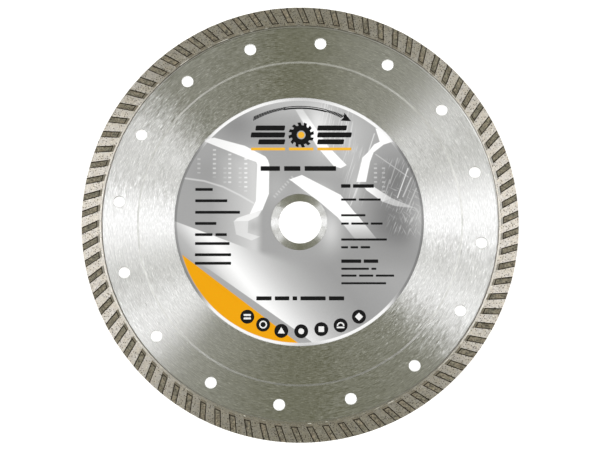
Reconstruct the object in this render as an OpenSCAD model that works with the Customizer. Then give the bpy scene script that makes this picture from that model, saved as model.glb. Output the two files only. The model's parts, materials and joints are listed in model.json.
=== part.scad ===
// Diamond blade with a continuous turbo rim, for an angle grinder or a small saw.
// The blade lies flat: +Z is the spin axis and the label side faces +Z; +Y is the
// top of the label. The origin is the centre of the bore, on the middle plane of
// the steel core. Seen from the label side the blade is made to turn clockwise.
// All sizes are in millimetres.

/* [Blade] */
// Outside diameter over the diamond layer
blade_d = 230; // [225:1:240]
// Diameter of the bore in the steel core
bore_d = 22.23; // [20:0.01:25.4]

/* [Steel core] */
// Thickness of the core from the bore out to the step
core_t = 2.0; // [1.9:0.05:2.2]
// Thickness of the core outside the step, up to the rim
web_t = 1.8; // [1.6:0.05:1.85]
// Distance from the visible edge of the core in to the outer end of the step
step_inset = 18.0; // [14:0.5:22]
// Width of the bevel that joins the two thicknesses
step_w = 1.4; // [0.6:0.1:2]
// How far the core runs on inside the foot ring
tongue_h = 0.7; // [0.5:0.05:0.8]

/* [Cooling holes] */
// Number of cooling holes
hole_n = 16; // [8:1:20]
// Diameter of a cooling hole
hole_d = 6; // [4:0.5:8]
// Distance from the visible edge of the core in to the hole centres
hole_inset = 8; // [7:0.5:10]
// Angle of the first hole, clockwise from the top of the label
hole_phase = 6.5; // [0:0.5:22]

/* [Keyed edge of the core] */
// Number of dovetail slots around the hidden edge of the core
key_n = 90; // [60:1:110]
// Width of a slot at its mouth
key_mouth = 1.3; // [1:0.1:1.6]
// Width of a slot at its root
key_root = 1.8; // [1.6:0.1:2]
// Depth of a slot
key_h = 0.55; // [0.4:0.05:0.6]

/* [Foot ring] */
// Height of the diamond-free foot ring that shows between core and diamond layer
foot_h = 1.2; // [1:0.1:1.6]
// Thickness of the foot ring
foot_t = 2.5; // [2.3:0.05:2.55]
// Bevel along the inner edges of the foot ring
foot_bevel = 0.25; // [0.1:0.05:0.3]

/* [Diamond layer] */
// Height of the diamond layer
rim_h = 9.8; // [9:0.1:11]
// Thickness of the diamond layer over the ribs
rim_t = 2.6; // [2.5:0.05:3]
// Bevel along the outer edges of the diamond layer
rim_bevel = 0.15; // [0.05:0.05:0.3]

/* [Turbo notches] */
// Number of notches on each side
notch_n = 82; // [70:1:88]
// Depth of the notch floor below the ribs
notch_depth = 0.45; // [0.3:0.05:0.6]
// Width of a notch across its top
notch_w = 3.2; // [2.6:0.1:3.6]
// Width of a notch across its floor
notch_floor_w = 2.5; // [2:0.1:2.5]
// Angle between a notch and the radius
notch_slant = 23.2; // [10:0.1:30]
// Angle of the first notch, clockwise from the top of the label
notch_phase = 0.76; // [0:0.01:4]
// Distance from the outside diameter in to the inner end of the deep floor
notch_floor_len = 7.9; // [6:0.1:8]
// Distance from the outside diameter in to the start of the run-out
notch_len = 9.5; // [9:0.1:9.6]
// Depth of the run-out where it meets the deep floor
runout_depth = 0.15; // [0.05:0.05:0.2]

/* [Diamond grit] */
// Edge length of a modelled diamond crystal
grit_a = 0.42; // [0.3:0.02:0.5]
// How far the tip of a crystal stands out of the metal
grit_proud = 0.12; // [0.05:0.01:0.2]

/* [Label] */
// Diameter of the label
label_d = 131.2; // [110:0.1:133]
// Diameter of the hole in the label
label_hole_d = 29.7; // [26:0.1:42]
// Thickness of the printed film
film_t = 0.1; // [0.08:0.01:0.12]
// Thickness of the adhesive under the film
glue_t = 0.05; // [0.04:0.01:0.08]
// How far the label is stuck off centre, sideways
label_dx = -0.5; // [-1:0.1:1]
// How far the label is stuck off centre, towards its top
label_dy = 0.7; // [-1:0.1:1]
// How far the label's hole is off the blade's centre, sideways
label_hole_dx = -0.5; // [-1:0.1:1]
// How far the label's hole is off the blade's centre, towards the label's top
label_hole_dy = 0.15; // [-1:0.05:1]

/* [Hidden] */

blade_r = blade_d / 2;
rim_r = blade_r - rim_h;          // where the diamond layer meets the foot ring
foot_r = rim_r - foot_h;          // where the core disappears under the foot ring
tongue_r = foot_r + tongue_h;     // true edge of the core, inside the foot ring
step_r = foot_r - step_inset;     // outer end of the bevelled step
hole_r = foot_r - hole_inset;
mid_r = blade_r - 4;              // radius at which a notch's slant is set out
floor_z = rim_t / 2 - notch_depth;
pitch = 360 / notch_n;
tip = grit_a * sqrt(3) / 2;       // from a crystal's centre to its corner
eps = 0.01;

// A repeatable scatter between 0 and 1, for crystal n and property k
function scatter(n, k) = let (v = abs(sin(n * 47.13 + k * 91.7 + 13)) * 437.585) v - floor(v);

// Turns its child to an angle measured clockwise from the top of the label
module clockwise(a) { rotate([0, 0, -a]) children(); }

// The dovetail slots around the core's edge
module key_slots() {
  for (i = [0 : key_n - 1]) clockwise(i * 360 / key_n)
    translate([0, 0, -web_t]) linear_extrude(height = 2 * web_t)
      polygon([[-key_root / 2, tongue_r - key_h], [key_root / 2, tongue_r - key_h],
               [key_mouth / 2, tongue_r + 0.2], [-key_mouth / 2, tongue_r + 0.2]]);
}

// Ground steel disc: thicker hub zone, bevelled step on both faces, thin web
module steel_core() color([0.66, 0.66, 0.63]) difference() {
  rotate_extrude($fn = 360) polygon([
    [bore_d / 2, -core_t / 2], [step_r - step_w, -core_t / 2], [step_r, -web_t / 2], [tongue_r, -web_t / 2],
    [tongue_r, web_t / 2], [step_r, web_t / 2], [step_r - step_w, core_t / 2], [bore_d / 2, core_t / 2]]);
  for (i = [0 : hole_n - 1]) clockwise(hole_phase + i * 360 / hole_n)
    translate([0, hole_r, 0]) cylinder(d = hole_d, h = 2 * core_t, center = true, $fn = 64);
  key_slots();
}

// Sintered ring without diamonds that grips the core's keyed edge
module foot_ring() color([0.70, 0.69, 0.65]) difference() {
  rotate_extrude($fn = 360) polygon([
    [foot_r, -web_t / 2], [foot_r, -foot_t / 2 + foot_bevel], [foot_r + foot_bevel, -foot_t / 2], [rim_r, -foot_t / 2],
    [rim_r, foot_t / 2], [foot_r + foot_bevel, foot_t / 2], [foot_r, foot_t / 2 - foot_bevel], [foot_r, web_t / 2]]);
  difference() {
    rotate_extrude($fn = 360) translate([foot_r - 1, -web_t / 2]) square([tongue_h + 1, web_t]);
    key_slots();
  }
}

// One slanted trough with drafted walls, cut into the +Z face
module trough() {
  k = (notch_w - notch_floor_w) / notch_depth;    // how fast the trough widens
  translate([0, mid_r, 0]) rotate([0, 0, notch_slant])
    translate([0, 10, 0]) rotate([90, 0, 0]) linear_extrude(height = 22)
      polygon([[-notch_floor_w / 2 + k / 4, floor_z - 0.5], [notch_floor_w / 2 - k / 4, floor_z - 0.5],
               [notch_w / 2 + k / 4, rim_t / 2 + 0.5], [-notch_w / 2 - k / 4, rim_t / 2 + 0.5]]);
}

// All the notches of one side: deep floor, steep inner wall and shallow run-out
module notches() intersection() {
  rotate_extrude($fn = 360) polygon([
    [blade_r - notch_len, rim_t / 2], [blade_r - notch_floor_len - 0.35, rim_t / 2 - runout_depth],
    [blade_r - notch_floor_len, floor_z], [blade_r + 1, floor_z], [blade_r + 1, rim_t / 2 + 0.4],
    [blade_r - notch_len, rim_t / 2 + 0.4]]);
  for (i = [0 : notch_n - 1]) clockwise(notch_phase + i * pitch) trough();
}

// A crystal standing on one corner, its upper tip at height 0
module crystal(n) translate([0, 0, -tip]) rotate([45, -atan(1 / sqrt(2)), 120 * scatter(n, 5)])
  cube(grit_a, center = true);

// A crystal at radius r, shifted sideways by s, its tip proud of a face at height z
module crystal_on_face(n, r, s, z) translate([s, r, z + grit_proud]) crystal(n);

// The exposed crystals: one in the floor of each notch on both sides, and two in
// each pitch of the cutting edge
module crystals() {
  for (i = [0 : notch_n - 1]) {
    r1 = mid_r - 3 + 6 * scatter(i, 1);
    r2 = mid_r - 3 + 6 * scatter(i, 2);
    clockwise(notch_phase + i * pitch)
      crystal_on_face(i, r1, -(r1 - mid_r) * tan(notch_slant) + 1.4 * scatter(i, 3) - 0.7, floor_z);
    mirror([0, 0, 1]) clockwise(notch_phase + (i + 0.5) * pitch)
      crystal_on_face(i + 200, r2, -(r2 - mid_r) * tan(notch_slant) + 1.4 * scatter(i, 4) - 0.7, floor_z);
    for (j = [0, 1]) clockwise((i + 0.5 * j + 0.3 * scatter(i + 100 * j, 6)) * pitch)
      translate([0, blade_r + grit_proud, 0.9 * scatter(i + 100 * j, 7) - 0.45])
        rotate([-90, 0, 0]) crystal(i + 400 + 200 * j);
  }
}

// Sintered matrix with slanted notches, those on the back half a pitch along
module diamond_rim() color([0.60, 0.57, 0.52]) difference() {
  rotate_extrude($fn = 360) polygon([
    [rim_r, -rim_t / 2], [blade_r - rim_bevel, -rim_t / 2], [blade_r, -rim_t / 2 + rim_bevel],
    [blade_r, rim_t / 2 - rim_bevel], [blade_r - rim_bevel, rim_t / 2], [rim_r, rim_t / 2]]);
  notches();
  mirror([0, 0, 1]) clockwise(pitch / 2) notches();
  crystals();
}

// The diamond crystals themselves, each seated in its own pocket of the matrix
module diamond_grit() color([0.80, 0.76, 0.48]) crystals();

// A round of sheet with the label's off-centre hole
module label_sheet(d, hole, z, t) difference() {
  translate([label_dx, label_dy, z]) cylinder(d = d, h = t, $fn = 180);
  translate([label_hole_dx, label_hole_dy, z - 1]) cylinder(d = hole, h = t + 2, $fn = 120);
}

// Layer of pressure-sensitive adhesive, just short of the film's edges
module label_adhesive() color([0.85, 0.84, 0.78]) label_sheet(label_d - 0.6, label_hole_d + 0.6, core_t / 2, glue_t);

// Printed film
module label_film() color([0.74, 0.74, 0.75]) label_sheet(label_d, label_hole_d, core_t / 2 + glue_t, film_t);

steel_core();
foot_ring();
diamond_rim();
diamond_grit();
label_adhesive();
label_film();
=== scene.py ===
import bpy, bmesh, json, math
import numpy as np
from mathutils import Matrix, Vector

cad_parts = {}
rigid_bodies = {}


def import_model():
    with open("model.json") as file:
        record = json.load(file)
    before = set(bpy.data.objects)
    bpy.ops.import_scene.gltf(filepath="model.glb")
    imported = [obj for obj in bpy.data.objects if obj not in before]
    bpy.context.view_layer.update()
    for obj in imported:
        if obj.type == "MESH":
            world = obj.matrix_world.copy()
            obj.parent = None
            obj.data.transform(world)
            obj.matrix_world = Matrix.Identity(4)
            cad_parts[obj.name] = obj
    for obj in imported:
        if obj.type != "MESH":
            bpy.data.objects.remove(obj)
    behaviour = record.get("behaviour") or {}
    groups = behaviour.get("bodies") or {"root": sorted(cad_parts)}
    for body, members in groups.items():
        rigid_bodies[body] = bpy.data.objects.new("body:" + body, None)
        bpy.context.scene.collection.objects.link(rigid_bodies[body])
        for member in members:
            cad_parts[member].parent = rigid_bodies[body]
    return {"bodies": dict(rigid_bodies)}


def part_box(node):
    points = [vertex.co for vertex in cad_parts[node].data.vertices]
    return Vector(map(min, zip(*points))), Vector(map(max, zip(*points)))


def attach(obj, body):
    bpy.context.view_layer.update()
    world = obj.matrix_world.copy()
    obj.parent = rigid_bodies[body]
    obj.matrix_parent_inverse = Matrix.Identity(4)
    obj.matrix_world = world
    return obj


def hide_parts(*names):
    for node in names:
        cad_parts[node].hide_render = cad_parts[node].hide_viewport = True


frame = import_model()
BODY = list(frame["bodies"])[0]
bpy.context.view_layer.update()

# ---------------------------------------------------------------- sizes, mm
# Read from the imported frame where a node's box gives them; the rest repeats
# the design's own dimensions.
def span(node):
    lo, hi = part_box(node)
    return np.array(lo) * 1000.0, np.array(hi) * 1000.0

RIM_Z = span("diamond_rim")[1][2]            # 1.30
FOOT_Z = span("foot_ring")[1][2]             # 1.25
CORE_Z = span("steel_core")[1][2]            # 1.00
WEB_Z = 0.9
BLADE_R = 115.0
BORE_R = 11.115
RIM_R = 105.2
FOOT_R = 104.0
TONGUE_R = 104.7
STEP_R0, STEP_R1 = 84.6, 86.0
HOLE_R, HOLE_RAD, HOLES, HOLE_PHASE = 96.0, 3.0, 16, 6.5
NOTCHES, NOTCH_PHASE, SLANT = 82, 0.76, math.radians(23.2)
MID_R = 111.0
FLOOR_Z = 0.85
RAMP_R0, RAMP_R1, DEEP_R = 105.5, 106.75, 107.1
RUNOUT_Z = RIM_Z - 0.15
PITCH = 360.0 / NOTCHES
GLUE = span("label_adhesive")
FILM = span("label_film")
FILM_C = ((FILM[0] + FILM[1]) / 2)[:2]       # centre of the label's outline
FILM_R = 65.6
FILM_HOLE_C, FILM_HOLE_R = np.array([-0.5, 0.15]), 14.85
FILM_TOP = FILM[1][2]                        # 1.15

N = 384                                      # segments around the blade


def cw(r, a):
    """x, y of a point at radius r and angle a degrees clockwise from +Y."""
    a = np.radians(a)
    return r * np.sin(a), r * np.cos(a)


def hash01(*k):
    v = np.zeros(np.broadcast(*[np.asarray(x, float) for x in k]).shape)
    for i, x in enumerate(k):
        v = v + np.asarray(x, float) * (12.9898 + 65.2331 * i)
    v = np.sin(v) * 43758.5453
    return v - np.floor(v)


# ---------------------------------------------------------------- mesh tools
class Soup:
    """Collects quads by their corners' coordinates, then welds them into one mesh."""

    def __init__(self):
        self.quads, self.mats, self.smooth = [], [], []

    def grid(self, P, mat=0, smooth=False, wrap=False):
        """P is rows x columns x 3. Consecutive rows and columns make quads."""
        P = np.asarray(P, float)
        if wrap:
            P = np.concatenate([P, P[:, :1]], 1)
        a, b, c, d = P[:-1, :-1], P[:-1, 1:], P[1:, 1:], P[1:, :-1]
        q = np.stack([a, b, c, d], 2).reshape(-1, 4, 3)
        self.quads.append(q)
        m = np.asarray(mat)
        if m.ndim == 0:
            m = np.full(len(q), int(m))
        self.mats.append(m.reshape(-1))
        self.smooth.append(np.full(len(q), bool(smooth)))

    def build(self, name, materials, weld=1e-4):
        q = np.concatenate(self.quads)
        mats = np.concatenate(self.mats)
        sm = np.concatenate(self.smooth)
        key = np.round(q.reshape(-1, 3) / weld).astype(np.int64)
        _, first, inv = np.unique(key, axis=0, return_index=True, return_inverse=True)
        verts = q.reshape(-1, 3)[first]
        idx = inv.reshape(-1, 4)
        faces, keep = [], []
        for i, f in enumerate(idx.tolist()):
            g = [v for k, v in enumerate(f) if v != f[k - 1]]
            if len(set(g)) >= 3:
                faces.append(g)
                keep.append(i)
        return finish_mesh(name, verts, faces, materials, mats[keep], sm[keep])


def finish_mesh(name, verts, faces, materials, face_mats=None, smooth=None):
    me = bpy.data.meshes.new(name)
    me.from_pydata((np.asarray(verts, float) * 0.001).tolist(), [], faces)
    for m in materials:
        me.materials.append(m)
    if face_mats is not None:
        me.polygons.foreach_set("material_index", np.asarray(face_mats, np.int32))
    if smooth is not None:
        me.polygons.foreach_set("use_smooth", np.asarray(smooth, bool))
    bm = bmesh.new()
    bm.from_mesh(me)
    bmesh.ops.recalc_face_normals(bm, faces=bm.faces)
    bm.to_mesh(me)
    bm.free()
    me.update()
    ob = bpy.data.objects.new(name, me)
    bpy.context.scene.collection.objects.link(ob)
    return ob


# ---------------------------------------------------------------- node tools
class F:
    """A float socket with arithmetic, so patterns can be written as formulas."""

    def __init__(self, nt, s):
        self.nt, self.s = nt, s

    def op(self, kind, *args, clamp=False):
        n = self.nt.nodes.new("ShaderNodeMath")
        n.operation = kind
        n.use_clamp = clamp
        for i, a in enumerate((self,) + args):
            if isinstance(a, F):
                self.nt.links.new(a.s, n.inputs[i])
            else:
                n.inputs[i].default_value = float(a)
        return F(self.nt, n.outputs[0])

    def __add__(self, o): return self.op("ADD", o)
    def __radd__(self, o): return self.op("ADD", o)
    def __sub__(self, o): return self.op("SUBTRACT", o)
    def __rsub__(self, o): return (self * -1.0) + o
    def __mul__(self, o): return self.op("MULTIPLY", o)
    def __rmul__(self, o): return self.op("MULTIPLY", o)
    def __truediv__(self, o): return self.op("DIVIDE", o)
    def __pow__(self, o): return self.op("POWER", o)
    def sqrt(self): return self.op("SQRT")
    def abs(self): return self.op("ABSOLUTE")
    def min(self, o): return self.op("MINIMUM", o)
    def max(self, o): return self.op("MAXIMUM", o)
    def clamp(self): return self.op("ADD", 0.0, clamp=True)
    def atan2(self, o): return self.op("ARCTAN2", o)

    def ramp(self, a, b):
        """0 at a, 1 at b, linear between."""
        n = self.nt.nodes.new("ShaderNodeMapRange")
        n.clamp = True
        self.nt.links.new(self.s, n.inputs["Value"])
        n.inputs["From Min"].default_value = a
        n.inputs["From Max"].default_value = b
        n.inputs["To Min"].default_value = 0.0
        n.inputs["To Max"].default_value = 1.0
        return F(self.nt, n.outputs["Result"])

    def step(self, a, b):
        """Smooth 0 to 1 between a and b."""
        t = self.ramp(a, b)
        return t * t * (3.0 - 2.0 * t)

    def curve(self, points):
        """Piecewise-linear lookup through (value, result) points in ascending order."""
        lo, hi = points[0][0], points[-1][0]
        n = self.nt.nodes.new("ShaderNodeValToRGB")
        n.color_ramp.interpolation = "LINEAR"
        top = max(p[1] for p in points) or 1.0
        e = n.color_ramp.elements
        while len(e) > 1:
            e.remove(e[-1])
        e[0].position = 0.0
        e[0].color = (points[0][1] / top,) * 3 + (1,)
        for x, v in points[1:]:
            k = e.new((x - lo) / (hi - lo))
            k.color = (v / top,) * 3 + (1,)
        t = self.ramp(lo, hi)
        self.nt.links.new(t.s, n.inputs["Fac"])
        sep = self.nt.nodes.new("ShaderNodeSeparateColor")
        self.nt.links.new(n.outputs["Color"], sep.inputs[0])
        return F(self.nt, sep.outputs[0]) * top


class Mat:
    """A Principled material with position, radius and direction at hand, in mm."""

    def __init__(self, name):
        self.m = bpy.data.materials.new(name)
        self.m.use_nodes = True
        self.nt = self.m.node_tree
        self.bsdf = next(n for n in self.nt.nodes if n.type == "BSDF_PRINCIPLED")
        tc = self.nt.nodes.new("ShaderNodeTexCoord")
        scale = self.nt.nodes.new("ShaderNodeVectorMath")
        scale.operation = "SCALE"
        scale.inputs["Scale"].default_value = 1000.0
        self.nt.links.new(tc.outputs["Object"], scale.inputs[0])
        self.pos = scale.outputs[0]
        sep = self.nt.nodes.new("ShaderNodeSeparateXYZ")
        self.nt.links.new(self.pos, sep.inputs[0])
        self.x, self.y, self.z = (F(self.nt, s) for s in sep.outputs)
        self.r = (self.x * self.x + self.y * self.y).sqrt().max(0.001)
        self.ux, self.uy = self.x / self.r, self.y / self.r

    def vec(self, x, y, z):
        n = self.nt.nodes.new("ShaderNodeCombineXYZ")
        for i, a in enumerate((x, y, z)):
            if isinstance(a, F):
                self.nt.links.new(a.s, n.inputs[i])
            else:
                n.inputs[i].default_value = float(a)
        return n.outputs[0]

    def noise(self, vector, scale=1.0, detail=2.0, rough=0.5, distortion=0.0):
        n = self.nt.nodes.new("ShaderNodeTexNoise")
        self.nt.links.new(vector, n.inputs["Vector"])
        n.inputs["Scale"].default_value = scale
        n.inputs["Detail"].default_value = detail
        n.inputs["Roughness"].default_value = rough
        n.inputs["Distortion"].default_value = distortion
        return F(self.nt, n.outputs["Fac"])

    def cells(self, vector, scale=1.0, feature="F1", rand=1.0):
        n = self.nt.nodes.new("ShaderNodeTexVoronoi")
        n.feature = feature
        self.nt.links.new(vector, n.inputs["Vector"])
        n.inputs["Scale"].default_value = scale
        n.inputs["Randomness"].default_value = rand
        return n

    def around(self, k, s):
        """Coordinates for streaks that run around the axis: k sets how short they are, s how fine across, per mm."""
        return self.vec(self.ux * k, self.uy * k, self.r * s)

    def mix(self, fac, a, b):
        """Colour mix; a and b are (r, g, b) or colour sockets, fac a float or F."""
        n = self.nt.nodes.new("ShaderNodeMix")
        n.data_type = "RGBA"
        n.clamp_factor = True
        fi, ai, bi = n.inputs[0], n.inputs[6], n.inputs[7]
        if isinstance(fac, F):
            self.nt.links.new(fac.s, fi)
        else:
            fi.default_value = fac
        for sock, v in ((ai, a), (bi, b)):
            if isinstance(v, (tuple, list)):
                sock.default_value = (*v, 1.0)
            else:
                self.nt.links.new(v, sock)
        return n.outputs[2]

    def grey(self, f):
        n = self.nt.nodes.new("ShaderNodeCombineColor")
        for i in range(3):
            self.nt.links.new(f.s, n.inputs[i])
        return n.outputs[0]

    def tint(self, color, f):
        """colour times a float."""
        n = self.nt.nodes.new("ShaderNodeMix")
        n.data_type = "RGBA"
        n.blend_type = "MULTIPLY"
        n.inputs[0].default_value = 1.0
        if isinstance(color, (tuple, list)):
            n.inputs[6].default_value = (*color, 1.0)
        else:
            self.nt.links.new(color, n.inputs[6])
        self.nt.links.new(self.grey(f), n.inputs[7])
        return n.outputs[2]

    def bump(self, height, distance_mm, strength=1.0, normal=None):
        n = self.nt.nodes.new("ShaderNodeBump")
        n.inputs["Strength"].default_value = strength
        n.inputs["Distance"].default_value = distance_mm * 0.001
        self.nt.links.new(height.s, n.inputs["Height"])
        if normal is not None:
            self.nt.links.new(normal, n.inputs["Normal"])
        return n.outputs[0]

    def set(self, **kw):
        names = {"color": "Base Color", "rough": "Roughness", "metal": "Metallic", "aniso": "Anisotropic",
                 "aniso_rot": "Anisotropic Rotation", "normal": "Normal", "tangent": "Tangent", "ior": "IOR",
                 "coat": "Coat Weight", "coat_rough": "Coat Roughness", "spec": "Specular IOR Level",
                 "transmission": "Transmission Weight", "edge": "Specular Tint"}
        for k, v in kw.items():
            s = self.bsdf.inputs[names[k]]
            if isinstance(v, F):
                self.nt.links.new(v.s, s)
            elif isinstance(v, bpy.types.NodeSocket):
                self.nt.links.new(v, s)
            elif isinstance(v, (tuple, list)):
                s.default_value = (*v, 1.0)
            else:
                s.default_value = v
        return self.m

    def tangent_around(self, wander=None):
        """Unit vectors that run outwards from the axis, each turned a little by wander, for grinding marks that run around it."""
        if wander is None:
            return self.vec(self.ux, self.uy, 0.0)
        return self.vec(self.ux - self.uy * wander, self.uy + self.ux * wander, 0.0)


def lin(v):
    v = v / 255.0
    return v / 12.92 if v <= 0.04045 else ((v + 0.055) / 1.055) ** 2.4


# ---------------------------------------------------------------- materials
def ground_steel():
    """Circular-ground steel: the marks run around the axis, in short overlapping strokes."""
    m = Mat("ground_steel")
    dash = m.noise(m.around(25.0, 4.6), detail=1.5, rough=0.6)
    dash2 = m.noise(m.vec(m.ux * 42.0 + 7.0, m.uy * 42.0, m.r * 5.0), detail=1.0, rough=0.5)
    fine = m.noise(m.around(14.0, 4.4), detail=3.0, rough=0.65)
    long = m.noise(m.around(7.0, 3.6), detail=2.0, rough=0.6)
    patch = m.noise(m.pos, scale=0.06, detail=3.0, rough=0.5)
    grain = m.noise(m.pos, scale=1.5, detail=2.0, rough=0.6)
    light = dash2.step(0.60, 0.72)
    dark = 1.0 - dash.step(0.30, 0.40)
    wander = (fine - 0.5) * 0.30 + (long - 0.5) * 0.20 + (dash - 0.5) * 0.32 + (dash2 - 0.5) * 0.24 + (patch - 0.5) * 0.06 + light * (fine - 0.5) * 1.25
    rough = 0.302 + (dash - 0.5).max(-0.08) * 0.14 + (fine - 0.5) * 0.06 + (patch - 0.5) * 0.04
    tone = 1.0 + (dash - 0.5) * 0.62 + (dash2 - 0.5) * 0.48 + (fine - 0.5) * 0.56 + (long - 0.5) * 0.36 + (grain - 0.5) * 0.14
    tone = (tone + light * 0.30 - dark * 0.03).max(0.80)
    col = m.tint(m.mix(patch.ramp(0.35, 0.65), (0.600, 0.600, 0.597), (0.592, 0.594, 0.588)), tone)
    nrm = m.bump(fine * 0.5 + dash * 0.35 + light * 0.3 + grain * 0.10, 0.004, 0.6)
    haze = ((dash - 0.30).max(0.0) * 0.32 + (grain - 0.36).max(0.0) * 0.12 + (dash2 - 0.42).max(0.0) * 0.16).min(0.3)
    return m.set(color=col, metal=1.0 - haze, rough=rough, aniso=1.0, tangent=m.tangent_around(wander), normal=nrm)


def turned_ring():
    """The bevel of the step and the deburred edges: turned, so duller than the ground faces. Their tone is painted
    lighter and darker round the blade: painted light and shade.
    """
    m = Mat("turned_ring")
    fine = m.noise(m.around(20.0, 6.0), detail=2.0)
    dash = m.noise(m.around(26.0, 1.2), detail=2.0)
    grain = m.noise(m.pos, scale=2.0, detail=2.0)
    az = m.ux.atan2(m.uy) * (180.0 / math.pi)
    # painted light and shade: a fixed curve round the blade makes the tone lightest at the top and darkest at the
    # bottom
    painted_light_by_angle = az.curve([(-180, 0.66), (-150, 0.74), (-130, 0.84), (-110, 0.84), (-90, 0.78), (-60, 0.88), (-40, 0.94), (-15, 0.98), (0, 0.98), (20, 0.96), (40, 0.92), (60, 0.84), (75, 0.92), (90, 0.80), (105, 0.86), (125, 0.84), (140, 0.70), (160, 0.66), (180, 0.66)])
    rough = 0.52 + (fine - 0.5) * 0.12
    col = m.tint((0.66, 0.66, 0.64), painted_light_by_angle + (fine - 0.5) * 0.20 + (dash - 0.5) * 0.6 + (grain - 0.5) * 0.16)
    return m.set(color=col, metal=1.0, rough=rough, aniso=0.63, tangent=m.tangent_around(),
                 normal=m.bump(fine, 0.004, 0.6))


def seam():
    """The joint between the core and the ring: a hair-wide gap with grinding dust and heat scale in it."""
    m = Mat("seam")
    n = m.noise(m.around(40.0, 2.0), detail=2.0)
    col = m.tint((0.060, 0.050, 0.038), 0.7 + (n - 0.35) * 1.6)
    return m.set(color=col, metal=0.3, rough=0.65 + (n - 0.5) * 0.2, spec=0.3, normal=m.bump(n, 0.03, 0.8))


def foot_metal():
    """Diamond-free sintered ring, ground with the rim's faces. The hair-wide joint to the core runs a
    little off centre, and the steel is smeared across the ring up to it."""
    m = Mat("foot_metal")
    fine = m.noise(m.around(30.0, 2.4), detail=3.0, rough=0.6)
    blot = m.noise(m.pos, scale=0.8, detail=3.0, rough=0.6)
    dash = m.noise(m.around(34.0, 1.8), detail=1.0).step(0.60, 0.66)
    v = m.cells(m.pos, 1.4)
    pit = 1.0 - F(m.nt, v.outputs["Distance"]).step(0.20, 0.34)
    sep = m.nt.nodes.new("ShaderNodeSeparateColor")
    m.nt.links.new(v.outputs["Color"], sep.inputs[0])
    pit = pit * F(m.nt, sep.outputs[0]).step(0.56, 0.62)
    wob = (m.noise(m.around(30.0, 0.3), detail=2.0) - 0.5) * 0.5
    az = m.ux.atan2(m.uy) * (180.0 / math.pi)
    rr = m.r - az.curve([(-180, 0.26), (-150, 0.20), (-120, 0.15), (-90, 0.25), (-60, 0.45), (-30, 0.74), (0, 0.98), (30, 0.98),
                         (60, 0.84), (90, 0.40), (120, 0.35), (150, 0.28), (180, 0.26)])
    line = 1.0 - ((rr + wob) - 104.0).abs().step(0.12, 0.38)
    line = line * az.curve([(-180, 0.0), (-150, 0.45), (-120, 1.0), (-90, 1.0), (-60, 1.0), (-30, 0.85), (0, 0.70), (30, 0.90),
                            (60, 0.60), (90, 0.90), (120, 1.0), (150, 0.35), (180, 0.0)])
    inner = 1.0 - rr.step(103.84, 104.10)
    joint = m.r.step(104.86, 104.98) * (1.0 - m.r.step(105.28, 105.40))
    col = m.mix(blot.ramp(0.4, 0.6), (0.566, 0.544, 0.502), (0.550, 0.514, 0.450))
    glint = dash * joint
    col = m.mix(glint * 0.9, col, (0.86, 0.84, 0.78))
    col = m.tint(col, (1.0 + (fine - 0.5) * 0.7 + (blot - 0.5) * 0.6) * (1.0 - pit * 0.55))
    col = m.mix(inner, col, (0.640, 0.636, 0.620))
    col = m.mix(line * 0.88, col, (0.060, 0.050, 0.036))
    rough = 0.46 + (blot - 0.5) * 0.2 + pit * 0.2 + line * 0.15
    return m.set(color=col, metal=0.90 - glint * 0.45, rough=rough, aniso=0.93, tangent=m.tangent_around((fine - 0.5) * 0.5),
                 normal=m.bump(fine * 0.5 + blot * 0.3 - pit * 0.5 - line * 1.2, 0.008, 0.7))


def rib_metal():
    """Ground tops of the ribs: warm sintered metal with pits and cut crystals showing as specks."""
    m = Mat("rib_metal")
    fine = m.noise(m.around(34.0, 2.0), detail=3.0, rough=0.65)
    blot = m.noise(m.pos, scale=0.35, detail=2.0, rough=0.6)
    grain = m.noise(m.pos, scale=1.4, detail=3.0, rough=0.75)
    v = m.cells(m.pos, 1.25)
    near = F(m.nt, v.outputs["Distance"])
    sep = m.nt.nodes.new("ShaderNodeSeparateColor")
    m.nt.links.new(v.outputs["Color"], sep.inputs[0])
    speck = (1.0 - near.step(0.26, 0.42)) * F(m.nt, sep.outputs[0]).step(0.44, 0.50)
    pale = (1.0 - near.step(0.20, 0.36)) * (1.0 - F(m.nt, sep.outputs[0]).step(0.18, 0.24))
    warm = m.mix(blot.ramp(0.38, 0.62), (0.536, 0.506, 0.464), (0.524, 0.482, 0.414))
    warm = m.mix(pale * 0.7, warm, (0.76, 0.75, 0.66))
    col = m.mix(speck * 0.92, warm, (0.080, 0.066, 0.045))
    col = m.tint(col, 1.0 + (fine - 0.5) * 0.5 + (grain - 0.5) * 1.3)
    rough = 0.50 + (grain - 0.5) * 0.18 + speck * 0.2
    nrm = m.bump(grain * 0.35 + fine * 0.35 - speck * 0.9, 0.012, 0.7)
    return m.set(color=col, metal=0.84, rough=rough, aniso=0.91, tangent=m.tangent_around((fine - 0.5) * 0.5), normal=nrm)


def runout_metal():
    """The shallow run-outs at the inner ends of the notches: matt as pressed, with a painted highlight on those at the
    right of the blade and a fainter one at the left.
    """
    m = Mat("runout_metal")
    grain = m.noise(m.pos, scale=1.5, detail=3.0, rough=0.7)
    big = m.noise(m.pos, scale=0.5, detail=2.0)
    az = m.ux.atan2(m.uy) * (180.0 / math.pi)
    # painted highlight: a fixed curve round the blade picks the run-outs at the right, and faintly those at the left
    painted_light_by_angle = az.curve([(-180, 0.0), (-112, 0.0), (-104, 0.24), (-96, 0.24), (-84, 0.04), (-70, 0.0), (0, 0.0), (66, 0.0), (74, 0.9),
                     (84, 0.95), (92, 0.40), (104, 0.20), (112, 0.0), (180, 0.0)])
    warm = m.mix(big.ramp(0.35, 0.65), (0.172, 0.149, 0.107), (0.146, 0.133, 0.099))
    # the painted highlight's light colour
    warm = m.mix(painted_light_by_angle, warm, (0.50, 0.485, 0.455))
    col = m.tint(warm, 1.0 + (grain - 0.5) * 1.8)
    return m.set(color=col, metal=0.16, rough=0.72 + (grain - 0.5) * 0.2, spec=0.3, normal=m.bump(grain, 0.02, 0.7))


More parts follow.
